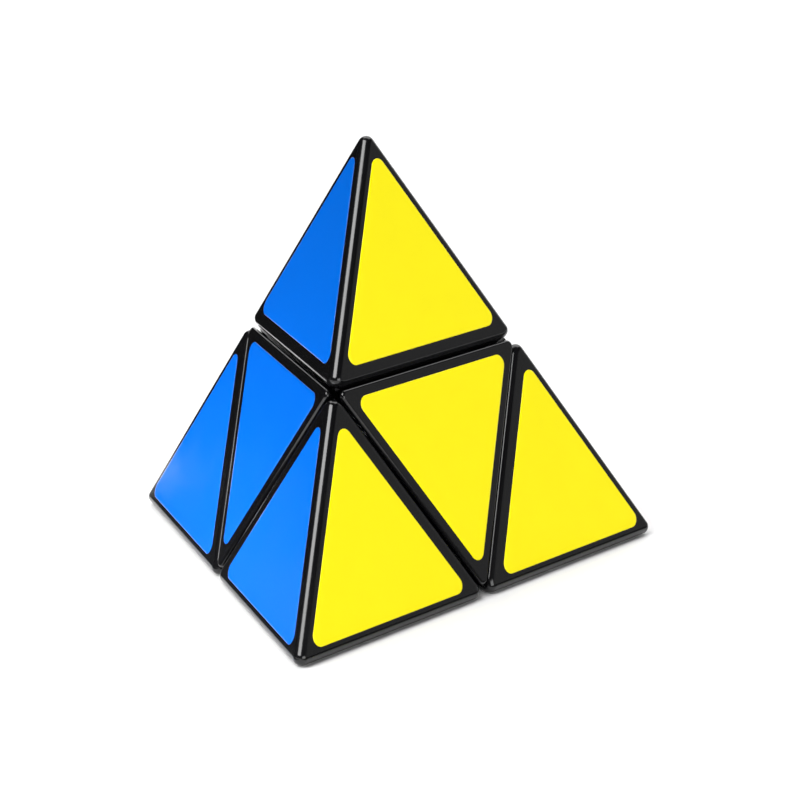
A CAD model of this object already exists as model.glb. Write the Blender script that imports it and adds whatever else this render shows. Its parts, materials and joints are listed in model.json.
import json
import math

import bpy
import numpy as np
from mathutils import Matrix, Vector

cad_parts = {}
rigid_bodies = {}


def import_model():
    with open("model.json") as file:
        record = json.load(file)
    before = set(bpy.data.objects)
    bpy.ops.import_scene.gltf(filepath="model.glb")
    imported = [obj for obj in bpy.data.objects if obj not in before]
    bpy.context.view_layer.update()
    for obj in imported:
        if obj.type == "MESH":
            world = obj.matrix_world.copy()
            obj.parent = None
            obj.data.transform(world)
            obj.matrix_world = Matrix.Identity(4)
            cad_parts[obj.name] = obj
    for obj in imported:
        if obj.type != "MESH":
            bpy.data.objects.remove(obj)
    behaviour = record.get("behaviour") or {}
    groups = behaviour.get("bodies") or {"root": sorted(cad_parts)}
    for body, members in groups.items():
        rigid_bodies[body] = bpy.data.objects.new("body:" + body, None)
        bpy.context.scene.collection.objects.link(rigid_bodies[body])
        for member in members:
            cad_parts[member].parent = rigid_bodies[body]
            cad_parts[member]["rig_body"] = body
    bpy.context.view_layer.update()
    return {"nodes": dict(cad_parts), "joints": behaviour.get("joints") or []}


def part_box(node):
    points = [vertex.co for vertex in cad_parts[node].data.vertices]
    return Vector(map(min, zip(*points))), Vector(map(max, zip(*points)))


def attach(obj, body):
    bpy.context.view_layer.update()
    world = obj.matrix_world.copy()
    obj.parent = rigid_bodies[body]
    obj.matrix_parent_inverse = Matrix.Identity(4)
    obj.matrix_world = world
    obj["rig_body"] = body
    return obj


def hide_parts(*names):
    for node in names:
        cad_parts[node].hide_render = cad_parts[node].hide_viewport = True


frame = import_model()

# ---- Screws, washers and springs --------------------------------------------------------------
# Pan head screws, plain washers and coil springs that hold a pivot on each arm of the spider.
# Steel: the screws and washers are turned or stamped and zinc plated, the springs cold drawn.


def linear(hex_colour):
    """sRGB hex to linear RGBA."""
    c = np.array([int(hex_colour[i:i + 2], 16) for i in (1, 3, 5)]) / 255
    c = np.where(c <= 0.04045, c / 12.92, ((c + 0.055) / 1.055) ** 2.4)
    return (*c.tolist(), 1.0)


def add(tree, kind, links, **settings):
    """Adds a node with its settings; links gives a value or another node's output by socket."""
    node = tree.nodes.new(kind)
    for key, value in settings.items():
        setattr(node, key, value)
    for socket, value in links.items():
        if isinstance(value, bpy.types.NodeSocket):
            tree.links.new(value, node.inputs[socket])
        else:
            node.inputs[socket].default_value = value
    return node


def start_material(name, constants):
    """A material whose shader has these constants, with its tree, shader and coordinates."""
    material = bpy.data.materials.new(name)
    material.use_nodes = True
    tree = material.node_tree
    shader = tree.nodes["Principled BSDF"]
    for socket, value in constants.items():
        shader.inputs[socket].default_value = value
    place = add(tree, "ShaderNodeTexCoord", {}).outputs["Object"]
    return material, tree, shader, place


def finish_nodes(ending, material):
    """Gives the CAD nodes whose names end so their material."""
    for name, node in frame["nodes"].items():
        if name.rstrip("_1234").endswith(ending):
            for slot in node.material_slots:
                slot.material = material


MM = 0.001
ZINC_MOTTLE = 1.5 * MM          # size of the cloudy patches in the plating

# Zinc plate: cool pale grey, cloudy from patch to patch, so its gloss comes and goes
zinc, tree, shader, place = start_material("steel_zinc_plated", {"Metallic": 1.0})
cloud = add(tree, "ShaderNodeTexNoise", {"Vector": place, "Scale": 1 / ZINC_MOTTLE, "Detail": 4.0})
tint = add(tree, "ShaderNodeMix", {"Factor": cloud.outputs["Fac"], "A": linear("#B6BAC0"),
                                   "B": linear("#D2D5D6")}, data_type="RGBA")
gloss = add(tree, "ShaderNodeMapRange", {"Value": cloud.outputs["Fac"], "To Min": 0.2, "To Max": 0.42})
tree.links.new(tint.outputs["Result"], shader.inputs["Base Color"])
tree.links.new(gloss.outputs["Result"], shader.inputs["Roughness"])
finish_nodes("screws", zinc)
finish_nodes("washers", zinc)

DRAW_LINE = 0.08 * MM           # marks of the die on the wire, drawn 4 times as coarse

# Cold drawn wire: darker and browner than the plate, finely marked and with an oily sheen
spring_steel, tree, shader, place = start_material("spring_steel_drawn",
                                                   {"Metallic": 1.0, "Roughness": 0.3})
lines = add(tree, "ShaderNodeTexNoise", {"Vector": place, "Scale": 1 / (4 * DRAW_LINE), "Detail": 2.0})
tint = add(tree, "ShaderNodeMix", {"Factor": lines.outputs["Fac"], "A": linear("#7E7C78"),
                                   "B": linear("#A9A6A0")}, data_type="RGBA")
bump = add(tree, "ShaderNodeBump", {"Height": lines.outputs["Fac"], "Strength": 0.4, "Distance": 0.01 * MM})
tree.links.new(tint.outputs["Result"], shader.inputs["Base Color"])
tree.links.new(bump.outputs["Normal"], shader.inputs["Normal"])
finish_nodes("springs", spring_steel)

# ---- Spider, pivots and sliders ---------------------------------------------------------------
# The spider's six arms carry the pivots, and the sliders fill the ball between them. They are
# injection moulded nylon, from a plain mould, and run in a little silicone grease.
FLOW_MARK = 5 * MM              # cloudy streaks where the melt flowed
GREASE_PATCH = 3 * MM

# Natural black nylon: softer and greyer than ABS, satin, with wetter looking greased patches
nylon, tree, shader, place = start_material("nylon_black", {"IOR": 1.53})
flow = add(tree, "ShaderNodeTexNoise", {"Vector": place, "Scale": 1 / FLOW_MARK, "Detail": 5.0,
                                        "Distortion": 0.6})
tint = add(tree, "ShaderNodeMix", {"Factor": flow.outputs["Fac"], "A": linear("#1B1B1E"),
                                   "B": linear("#303035")}, data_type="RGBA")
grease = add(tree, "ShaderNodeTexNoise", {"Vector": place, "Scale": 1 / GREASE_PATCH, "Detail": 2.0})
gloss = add(tree, "ShaderNodeMapRange", {"Value": grease.outputs["Fac"], "From Min": 0.4, "From Max": 0.6,
                                         "To Min": 0.18, "To Max": 0.5})
bump = add(tree, "ShaderNodeBump", {"Height": flow.outputs["Fac"], "Strength": 0.2, "Distance": 0.03 * MM})
tree.links.new(tint.outputs["Result"], shader.inputs["Base Color"])
tree.links.new(gloss.outputs["Result"], shader.inputs["Roughness"])
tree.links.new(bump.outputs["Normal"], shader.inputs["Normal"])
for ending in ("spider", "pivot", "slider"):
    finish_nodes(ending, nylon)

# ---- Bases ------------------------------------------------------------------------------------
# The inner trays of the outer pieces: walls along the cut planes and a crown over the ball. They
# are injection moulded ABS, and show in the gaps and on the cut faces of a turned half.
SPARK_GRAIN = 0.12 * MM         # fine spark eroded texture of the mould, drawn 3 times as coarse
SWIRL = 9 * MM

# Satin ABS: an even near black that scatters the light of the gap, with faint mould swirls
abs_satin, tree, shader, place = start_material("abs_black_satin", {"IOR": 1.53})
spark = add(tree, "ShaderNodeTexNoise", {"Vector": place, "Scale": 1 / (3 * SPARK_GRAIN), "Detail": 3.0})
swirl = add(tree, "ShaderNodeTexNoise", {"Vector": place, "Scale": 1 / SWIRL, "Detail": 4.0})
tint = add(tree, "ShaderNodeMix", {"Factor": swirl.outputs["Fac"], "A": linear("#0A0A0B"),
                                   "B": linear("#141416")}, data_type="RGBA")
gloss = add(tree, "ShaderNodeMapRange", {"Value": swirl.outputs["Fac"], "To Min": 0.28, "To Max": 0.42})
bump = add(tree, "ShaderNodeBump", {"Height": spark.outputs["Fac"], "Strength": 0.3, "Distance": 0.01 * MM})
tree.links.new(tint.outputs["Result"], shader.inputs["Base Color"])
tree.links.new(gloss.outputs["Result"], shader.inputs["Roughness"])
tree.links.new(bump.outputs["Normal"], shader.inputs["Normal"])
finish_nodes("base", abs_satin)

# ---- Corner caps ------------------------------------------------------------------------------
# The outer shell of a corner piece: three walls that meet at a point, with every edge rounded.
# Injection moulded in gloss black ABS, and glued on the peg of its base.
MIDDLE = np.array(frame["joints"][0]["pos_m"])          # where the three turning axes cross
STICKER_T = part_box("green_centre_sticker")[1].z         # the puzzle stands on its green stickers
FACE_REACH = MIDDLE[2] - STICKER_T                       # from the middle to a face
EDGE = FACE_REACH * 2 * math.sqrt(6)                     # between two sharp corners
HALF_SIDE = EDGE / (2 * math.sqrt(2))                    # half the cube that holds the pyramid
# Rows are the turning axes, which lean out at 30, 150 and 270 degrees round the upright
AXIS_TURN = np.radians([30, 150, 270])
AXES = np.stack([math.sqrt(2 / 3) * np.cos(AXIS_TURN), math.sqrt(2 / 3) * np.sin(AXIS_TURN),
                 np.full(3, math.sqrt(1 / 3))], 1)
# Half turns that take the top corner to each corner, and the green face to each face
HALF_TURNS = np.array([[1, 1, 1], [1, -1, -1], [-1, 1, -1], [-1, -1, 1]])
CORNERS = ["top", "right", "left", "front"]
FACES = ["green", "blue", "yellow", "red"]

GAP = 0.35 * MM                 # between neighbouring pieces
CAP_WALL = 1.4 * MM
EDGE_R = 1.3 * MM               # outer edges and rims
RIM_CORNER_R = 2.0 * MM         # in plan, where a rim turns from one cut plane to the next
ARC_STEPS = 12


def between(a, b, t):
    """Unit directions that turn evenly from a to b as t goes from 0 to 1."""
    angle = np.arccos(np.clip((a * b).sum(-1, keepdims=True), -1, 1))
    share = np.where(angle > 1e-6, np.sin(t * angle) / np.maximum(np.sin(angle), 1e-6), t)
    rest = np.where(angle > 1e-6, np.sin((1 - t) * angle) / np.maximum(np.sin(angle), 1e-6), 1 - t)
    mix = rest * a + share * b
    return mix / np.linalg.norm(mix, axis=-1, keepdims=True)


def closed_shell(name, points, shading, wear, half_turn, material):
    """A closed surface on a grid of points in the puzzle's frame, turned to its place. Columns go
    round it and the first and last rows are poles. Points that fall together become one, and
    triangles left with no area go. shading holds a direction and wear a value for each point."""
    to_world = AXES.T * half_turn
    flat = points.reshape(-1, 3)
    _, first, index = np.unique(np.round(flat / (0.5e-3 * MM)), axis=0, return_index=True,
                                return_inverse=True)
    index = index.reshape(points.shape[:2])
    a, b = index[:-1], index[1:]
    c, d = np.roll(b, -1, 1), np.roll(a, -1, 1)
    faces = np.concatenate([np.stack([a, b, c], -1), np.stack([a, c, d], -1)]).reshape(-1, 3)
    faces = faces[(faces != np.roll(faces, 1, 1)).all(1)]
    place = flat[first] @ to_world.T
    corner = place[faces]
    if (corner[:, 0] * np.cross(corner[:, 1], corner[:, 2])).sum() < 0:
        faces = faces[:, ::-1]              # a positive volume means that the faces point outwards
    mesh = bpy.data.meshes.new(name)
    mesh.from_pydata((place + MIDDLE).tolist(), [], faces.tolist())
    mesh.materials.append(material)
    mesh.polygons.foreach_set("use_smooth", np.ones(len(faces), bool))
    mesh.attributes.new("wear", "FLOAT", "POINT").data.foreach_set(
        "value", wear.reshape(-1)[first].astype(np.float32))
    mesh.update()
    mesh.normals_split_custom_set_from_vertices((shading.reshape(-1, 3)[first] @ to_world.T).tolist())
    shell = bpy.data.objects.new(name, mesh)
    bpy.context.scene.collection.objects.link(shell)
    return shell


def fit(piece, node):
    """Puts a piece in its CAD node's place."""
    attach(piece, frame["nodes"][node]["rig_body"])
    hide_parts(node)


def corner_cap_grid():
    """The top corner's cap. A point is a support point plus EDGE_R times a direction: on a flat
    the support point moves, on a rounded edge the direction turns, at a corner it turns both
    ways. Columns go round the three corners of the rim. Rows go from the apex down the walls,
    over the rim, in across its thickness and back up inside to the inner apex."""
    reach = HALF_SIDE - math.sqrt(3) * EDGE_R           # of the support points, summed over axes
    inner_reach = HALF_SIDE - math.sqrt(3) * CAP_WALL
    wall = (1 - 2 * np.eye(3)) / math.sqrt(3)            # outward directions of the three walls
    cut = -np.eye(3)                                     # and of the three cut planes
    turn = np.linspace(0, 1, ARC_STEPS + 1)[:, None]
    half = ARC_STEPS // 2
    walls, cuts, rim, inner, edge_wear = [], [], [], [], []
    for i in range(3):
        before, after = (i + 1) % 3, (i + 2) % 3         # the walls that meet at this corner
        arc = between(cut[before], cut[after], turn)
        walls.append(np.concatenate([np.tile(wall[before], (half, 1)),
                                     between(wall[before], wall[after], turn),
                                     np.tile(wall[after], (half, 1))]))
        cuts.append(np.concatenate([arc[:half], np.tile(arc[half], (ARC_STEPS + 1, 1)), arc[half + 1:]]))
        edge_wear.append(np.pad(np.sin(math.pi * turn[:, 0]), half))
        for ring, radius, top in ((rim, RIM_CORNER_R - EDGE_R, reach), (inner, RIM_CORNER_R, inner_reach)):
            at = (1 + cut[i]) * (GAP / 2 + RIM_CORNER_R) + radius * cuts[-1]
            at[:, i] = top - abs(at[:, before] - at[:, after])
            ring.append(at)
    walls, cuts, rim, inner, edge_wear = map(np.concatenate, (walls, cuts, rim, inner, edge_wear))
    turn = turn[:, None]
    cap = between(np.full(3, math.sqrt(1 / 3)), walls, turn)
    lip = between(walls, cuts, turn)
    points = np.concatenate([reach + EDGE_R * cap, rim + EDGE_R * lip, inner[None],
                             np.full_like(inner[None], inner_reach)])
    shading = np.concatenate([cap, lip, cuts[None], -walls[None]])
    wear = np.concatenate([np.maximum(edge_wear, np.cos(turn[..., 0] * math.pi / 2)),
                           np.maximum(edge_wear * (1 - turn[..., 0]), np.sin(turn[..., 0] * math.pi)),
                           np.zeros((2, len(walls)))])
    return points, shading, wear


PEEL = 1.6 * MM                 # orange peel that a polished mould leaves
HAIRLINE = 0.25 * MM            # scratches, drawn five times as wide as they are
HAIR_STRETCH = 16               # their length over their width
SMUDGE = 14 * MM

# Gloss ABS: near black, mirror like in a soft light but for a faint orange peel, with hairlines
# from handling and edges rubbed a little paler
abs_gloss, tree, shader, place = start_material("abs_black_gloss", {"IOR": 1.53})
rub = add(tree, "ShaderNodeAttribute", {}, attribute_name="wear")
smudge = add(tree, "ShaderNodeTexNoise", {"Vector": place, "Scale": 1 / SMUDGE, "Detail": 4.0})
rubbed = add(tree, "ShaderNodeMath", {0: rub.outputs["Fac"], 1: smudge.outputs["Fac"]},
             operation="MULTIPLY")
tint = add(tree, "ShaderNodeMix", {"Factor": rubbed.outputs[0], "A": linear("#09090A"),
                                   "B": linear("#111113")}, data_type="RGBA")
gloss = add(tree, "ShaderNodeMapRange", {"Value": smudge.outputs["Fac"], "From Min": 0.3, "From Max": 0.7,
                                         "To Min": 0.12, "To Max": 0.2})
peel = add(tree, "ShaderNodeTexNoise", {"Vector": place, "Scale": 1 / PEEL, "Detail": 1.0})
drawn = add(tree, "ShaderNodeMapping", {"Vector": place, "Rotation": (0.5, 0.3, 0.9),
                                        "Scale": (1, HAIR_STRETCH, 1)})
hairs = add(tree, "ShaderNodeTexNoise", {"Vector": drawn.outputs["Vector"], "Detail": 2.0,
                                         "Scale": 1 / (HAIR_STRETCH * HAIRLINE)})
height = add(tree, "ShaderNodeMath", {0: hairs.outputs["Fac"], 1: 0.15, 2: peel.outputs["Fac"]},
             operation="MULTIPLY_ADD")
bump = add(tree, "ShaderNodeBump", {"Height": height.outputs[0], "Strength": 0.25, "Distance": 0.012 * MM})
tree.links.new(tint.outputs["Result"], shader.inputs["Base Color"])
tree.links.new(gloss.outputs["Result"], shader.inputs["Roughness"])
tree.links.new(bump.outputs["Normal"], shader.inputs["Normal"])

grid = corner_cap_grid()
for corner, half_turn in zip(CORNERS, HALF_TURNS):
    shell = closed_shell(f"{corner}_corner_shell", *grid, half_turn, abs_gloss)
    fit(shell, f"{corner}_corner_cap")

# ---- Face centre caps -------------------------------------------------------------------------
# The outer shell of a face centre piece: one triangular wall of the same moulded ABS, whose
# sides lean in along the cut planes. Its sharp rims are only just broken.
CENTRE_RIM_R = 0.5 * MM
CENTRE_CORNER_R = 1.5 * MM      # in plan, at its three corners
LEAN = math.acos(math.sqrt(1 / 3))                      # between a face and a cut plane
TRIANGLE_INRADIUS = EDGE / 2 / (2 * math.sqrt(3))       # of one piece's part of a face
# The green face's outward direction, and two directions in it: to the middle sticker's point,
# and across
FACE_OUT = np.full(3, -math.sqrt(1 / 3))
FACE_POINT = np.array([1, 1, -2]) / math.sqrt(6)
FACE_TURN = np.stack([FACE_POINT, np.cross(FACE_OUT, FACE_POINT), FACE_OUT])


def plate_grid(profile, inradius, corner_r, angle=0.0, distance=0.0):
    """A plate on the green face: a profile carried round a triangle with round corners. A step of
    the profile is how far it lies inside the outline, its height over the face, the angle that
    its direction leans out from the face's, and wear. A point is a corner's centre plus a radius
    in the direction round it. The plate is turned by angle and moved out that way by distance."""
    inset, height, lean, wear = np.array(profile).T[:, :, None]
    sweep = np.linspace(-math.pi / 3, math.pi / 3, ARC_STEPS + 1)
    middles = math.tau / 3 * np.arange(3)[:, None]
    round_by = (middles + sweep).ravel() + angle
    centre_by = (middles + 0 * sweep).ravel() + angle
    centre_r = 2 * (inradius - corner_r)
    middle = np.array([distance * math.cos(angle), distance * math.sin(angle), 0])
    flat = middle + np.stack([centre_r * np.cos(centre_by) + (corner_r - inset) * np.cos(round_by),
                              centre_r * np.sin(centre_by) + (corner_r - inset) * np.sin(round_by),
                              FACE_REACH + height + 0 * round_by], -1)
    leaning = np.stack([np.sin(lean) * np.cos(round_by), np.sin(lean) * np.sin(round_by),
                        np.cos(lean) + 0 * round_by], -1)
    poles = middle + flat[[0, -1]] * [0, 0, 1]          # over and under the plate's middle
    up = np.zeros_like(flat[:1]) + [0, 0, 1]
    points = np.concatenate([poles[:1], flat, poles[1:]])
    shading = np.concatenate([up, leaning, -up])
    return points @ FACE_TURN, shading @ FACE_TURN, np.pad(wear + 0 * round_by, ((1, 1), (0, 0)))


over = np.linspace(0, math.pi - LEAN, ARC_STEPS + 1)
reach_in = CENTRE_RIM_R / math.tan(LEAN / 2)            # where the rim's rounding starts
profile = np.stack([reach_in - CENTRE_RIM_R * np.sin(over), CENTRE_RIM_R * (np.cos(over) - 1), over,
                    np.sin(over / over[-1] * math.pi)], 1)
profile = np.vstack([profile, [CAP_WALL / math.tan(LEAN), -CAP_WALL, math.pi - LEAN, 0]])
grid = plate_grid(profile, TRIANGLE_INRADIUS - GAP / 2 / math.sin(LEAN), CENTRE_CORNER_R)
for face, half_turn in zip(FACES, HALF_TURNS):
    shell = closed_shell(f"{face}_centre_shell", *grid, half_turn, abs_gloss)
    fit(shell, f"{face}_centre_cap")

# ---- Stickers ---------------------------------------------------------------------------------
# One on each triangle, three to a corner piece and one to a centre piece. Vinyl, printed in one
# solid colour under a clear gloss film, die cut with round corners and pressed on by hand.
STICKER_BORDER = 2.4 * MM
STICKER_CORNER_R = 1.5 * MM
LIP_WIDTH = 0.5 * MM            # rolled edge, where the die pressed the film down
LIP_DROP = 0.14 * MM
LIP_STEPS = 8
INKS = {"green": "#00A14B", "blue": "#005FC8", "yellow": "#FFF000", "red": "#BE0F1B"}
SLOT_ANGLES = {"right": math.pi / 3, "left": -math.pi / 3, "front": math.pi}
FILM_WAVE = 11 * MM             # slow unevenness of a film pressed on by hand
FILM_GRAIN = 0.6 * MM           # adhesive grain, drawn twice as coarse
PRINT_MOTTLE = 6 * MM


def printed_vinyl(name, ink):
    """Solid ink under a gloss film: an even strong colour with soft, slightly wavy reflections."""
    material, tree, shader, place = start_material(name, {"IOR": 1.48})
    mottle = add(tree, "ShaderNodeTexNoise", {"Vector": place, "Scale": 1 / PRINT_MOTTLE, "Detail": 5.0})
    tone = add(tree, "ShaderNodeMapRange", {"Value": mottle.outputs["Fac"],
                                            "To Min": 0.98, "To Max": 1.02})
    toned = add(tree, "ShaderNodeVectorMath", {0: linear(ink)[:3], "Scale": tone.outputs["Result"]},
                operation="SCALE")
    gloss = add(tree, "ShaderNodeMapRange", {"Value": mottle.outputs["Fac"], "From Min": 0.3,
                                             "From Max": 0.7, "To Min": 0.13, "To Max": 0.19})
    wave = add(tree, "ShaderNodeTexNoise", {"Vector": place, "Scale": 1 / FILM_WAVE, "Detail": 0.0})
    grain = add(tree, "ShaderNodeTexNoise", {"Vector": place, "Scale": 1 / FILM_GRAIN, "Detail": 2.0})
    slow = add(tree, "ShaderNodeBump", {"Height": wave.outputs["Fac"], "Strength": 0.35,
                                        "Distance": 0.12 * MM})
    fine = add(tree, "ShaderNodeBump", {"Height": grain.outputs["Fac"], "Strength": 0.15,
                                        "Distance": 0.004 * MM, "Normal": slow.outputs["Normal"]})
    tree.links.new(toned.outputs["Vector"], shader.inputs["Base Color"])
    tree.links.new(gloss.outputs["Result"], shader.inputs["Roughness"])
    tree.links.new(fine.outputs["Normal"], shader.inputs["Normal"])
    return material


over = np.linspace(0, math.pi / 2, LIP_STEPS + 1)       # along a quarter of an ellipse
profile = np.stack([LIP_WIDTH * (1 - np.sin(over)), STICKER_T - LIP_DROP * (1 - np.cos(over)),
                    np.arctan2(LIP_DROP * np.sin(over), LIP_WIDTH * np.cos(over)), 0 * over], 1)
profile = np.vstack([profile, [0, 0, math.pi / 2, 0]])
for k, (face, half_turn) in enumerate(zip(FACES, HALF_TURNS)):
    vinyl = printed_vinyl(f"vinyl_{face}", INKS[face])
    inradius = TRIANGLE_INRADIUS - STICKER_BORDER
    grid = plate_grid(profile, inradius, STICKER_CORNER_R)
    film = closed_shell(f"{face}_centre_film", *grid, half_turn, vinyl)
    fit(film, f"{face}_centre_sticker")
    for v, corner in enumerate(CORNERS):
        if v != k:
            # the half turn that takes the green face here swaps the corners in pairs
            angle = SLOT_ANGLES[CORNERS[v ^ k]]
            grid = plate_grid(profile, inradius, STICKER_CORNER_R, angle, 2 * TRIANGLE_INRADIUS)
            film = closed_shell(f"{corner}_{face}_film", *grid, half_turn, vinyl)
            fit(film, f"{corner}_{face}_sticker")

# ---- Floor and backdrop -----------------------------------------------------------------------
# A round sheet of matt white paper, with a lit white wall round it. Only the camera sees the
# wall, so it doesn't light the puzzle and isn't mirrored in it.
FLOOR_RADIUS = 0.7
BACKDROP_HEIGHT = 0.6
PAPER_TOOTH = 0.5 * MM

# Uncoated paper: plain white, with only a faint tooth
paper, tree, shader, place = start_material("paper_white", {"Base Color": linear("#F4F4F4"),
                                                            "Roughness": 0.9})
tooth = add(tree, "ShaderNodeTexNoise", {"Vector": place, "Scale": 1 / PAPER_TOOTH, "Detail": 2.0})
bump = add(tree, "ShaderNodeBump", {"Height": tooth.outputs["Fac"], "Strength": 0.1, "Distance": 0.05 * MM})
tree.links.new(bump.outputs["Normal"], shader.inputs["Normal"])


def stage_card(name, points, material, faces=None):
    """A sheet of the studio: one face through its points in order, or the faces given."""
    mesh = bpy.data.meshes.new(name)
    mesh.from_pydata(np.asarray(points).tolist(), [], faces or [list(range(len(points)))])
    mesh.materials.append(material)
    card = bpy.data.objects.new(name, mesh)
    bpy.context.scene.collection.objects.link(card)
    return card


turn = np.linspace(0, math.tau, 96, endpoint=False)
rim = np.stack([np.cos(turn), np.sin(turn), 0 * turn], 1) * FLOOR_RADIUS
stage_card("floor", rim, paper)


def card_material(name, radiance):
    """Matt black card that shines with that radiance, so it looks the same in any light."""
    return start_material(name, {"Base Color": linear("#050505"), "Roughness": 1.0,
                                 "Emission Color": linear("#FFFFFF"), "Emission Strength": radiance})[0]


here = np.arange(len(rim))
after = np.roll(here, -1)
wall_faces = np.stack([here, after, after + len(rim), here + len(rim)], 1).tolist()
wall_points = np.concatenate([rim, rim + [0, 0, BACKDROP_HEIGHT]])
backdrop = stage_card("backdrop", wall_points, card_material("paper_lit", 1.0), wall_faces)
backdrop.visible_diffuse = False
backdrop.visible_glossy = False
backdrop.visible_transmission = False
backdrop.visible_shadow = False

# ---- Studio -----------------------------------------------------------------------------------
# A large soft box high on the left front draws the bright line down the front edge, and a low one
# on the right front lights the yellow side. One more and a pale wall stand behind, another wall
# on the right, and a small box at the foot of the blue side. Cards shape what the gloss mirrors.


def direction(azimuth, elevation):
    """The way to that azimuth and elevation in degrees: azimuth 0 is along -Y, 90 along +X."""
    az, el = math.radians(azimuth), math.radians(elevation)
    return np.array([math.sin(az) * math.cos(el), -math.cos(az) * math.cos(el), math.sin(el)])


def set_up(name, data, place, x, y, z):
    """Adds a light or camera whose own axes are x, y and z; it looks along -z."""
    item = bpy.data.objects.new(name, data)
    bpy.context.scene.collection.objects.link(item)
    item.matrix_world = Matrix(np.vstack([np.stack([x, y, z, place], 1), [0, 0, 0, 1]]))
    return item


def soft_box(name, azimuth, elevation, distance, width, height, radiance):
    """A flat light of that radiance that faces the puzzle."""
    away = direction(azimuth, elevation)
    side = direction(azimuth + 90, 0)
    light = bpy.data.lights.new(name, "AREA")
    light.shape = "RECTANGLE"
    light.size, light.size_y = width, height
    light.energy = radiance * math.pi * width * height
    return set_up(name, light, MIDDLE + away * distance, side, np.cross(away, side), away)


soft_box("left_front_box", -28, 50, 0.95, 0.66, 0.46, 9.2)
soft_box("right_front_box", 45, 12, 0.95, 0.66, 0.44, 3.7)
soft_box("back_box", 180, 60, 1.2, 1.3, 0.9, 2.6)
soft_box("right_wall", 112, 14, 0.9, 1.0, 0.5, 0.29)
soft_box("back_wall", 180, 16, 1.1, 1.3, 0.6, 2.2)
low_box = soft_box("low_left_box", -60, -7, 0.07, 0.12, 0.02, 8.0)
low_box.visible_camera = False
low_box.visible_glossy = False

flag_black = card_material("flag_black", 0.0)
card_lit = card_material("card_lit", 2.5)


def mirror_card(name, corners, material, faces=None):
    """A card that only mirrors see, so it changes reflections and nothing else."""
    card = stage_card(name, corners, material, faces)
    card.visible_camera = False
    card.visible_diffuse = False
    card.visible_shadow = False


CARD_LIFT = 0.5 * MM            # of the cards' feet, clear of the paper
FOOT_REACH = 0.055              # from the middle to just past the puzzle's corners
LEFT_FLAG_REACH = 0.14
LEFT_FLAG_HEIGHT = 0.09
RIGHT_FLAG_REACH = 0.3
BACK_CARD_NEAR = 0.07
BACK_CARD_FAR = 0.135


def on_table(reach, *azimuths):
    """Points just above the table, at that reach and these azimuths."""
    return np.array([reach * direction(azimuth, 0) for azimuth in azimuths]) + [0, 0, CARD_LIFT]


front_foot, left_foot, right_foot = on_table(FOOT_REACH, 0, -120, 120)
flag_foot = on_table(LEFT_FLAG_REACH, -142, -125, -80)
mirror_card("left_flag", np.concatenate([flag_foot, flag_foot + [0, 0, LEFT_FLAG_HEIGHT]]), flag_black,
            [[0, 1, 4, 3], [1, 2, 5, 4]])
mirror_card("left_table_flag", [left_foot, *flag_foot[1:], front_foot], flag_black)
mirror_card("right_table_flag", [front_foot, *on_table(RIGHT_FLAG_REACH, 70, 128), right_foot], flag_black)
mirror_card("back_table_card", [*on_table(BACK_CARD_NEAR, -150, -127),
                                *on_table(BACK_CARD_FAR, -127, -150)], card_lit)

ROOM_DIMNESS = (0.025, 0.025, 0.027, 1)                 # what the rest of the studio sends back
world = bpy.data.worlds.new("studio")
world.use_nodes = True
world.node_tree.nodes["Background"].inputs["Color"].default_value = ROOM_DIMNESS
bpy.context.scene.world = world
bpy.context.scene.view_settings.view_transform = "Standard"

# A long lens from a little above the puzzle, just to the right of its front edge
CAMERA_AZIMUTH = 11.04
CAMERA_ELEVATION = 16.02
CAMERA_TILT = 0.12
CAMERA_DISTANCE = 6.0793 * EDGE
OFF_CENTRE = np.array([-0.0603, -0.0995]) * EDGE         # how far the middle lies off the axis
camera = bpy.data.cameras.new("camera")
camera.lens = 152.5
camera.sensor_width = 36
camera.clip_start = 0.01
back = direction(CAMERA_AZIMUTH, CAMERA_ELEVATION)
side = direction(CAMERA_AZIMUTH + 90, 0)
tilt = math.radians(CAMERA_TILT)
right = math.cos(tilt) * side + math.sin(tilt) * np.cross(back, side)
up = np.cross(back, right)
eye = MIDDLE + back * CAMERA_DISTANCE - right * OFF_CENTRE[0] - up * OFF_CENTRE[1]
bpy.context.scene.camera = set_up("camera", camera, eye, right, up, back)
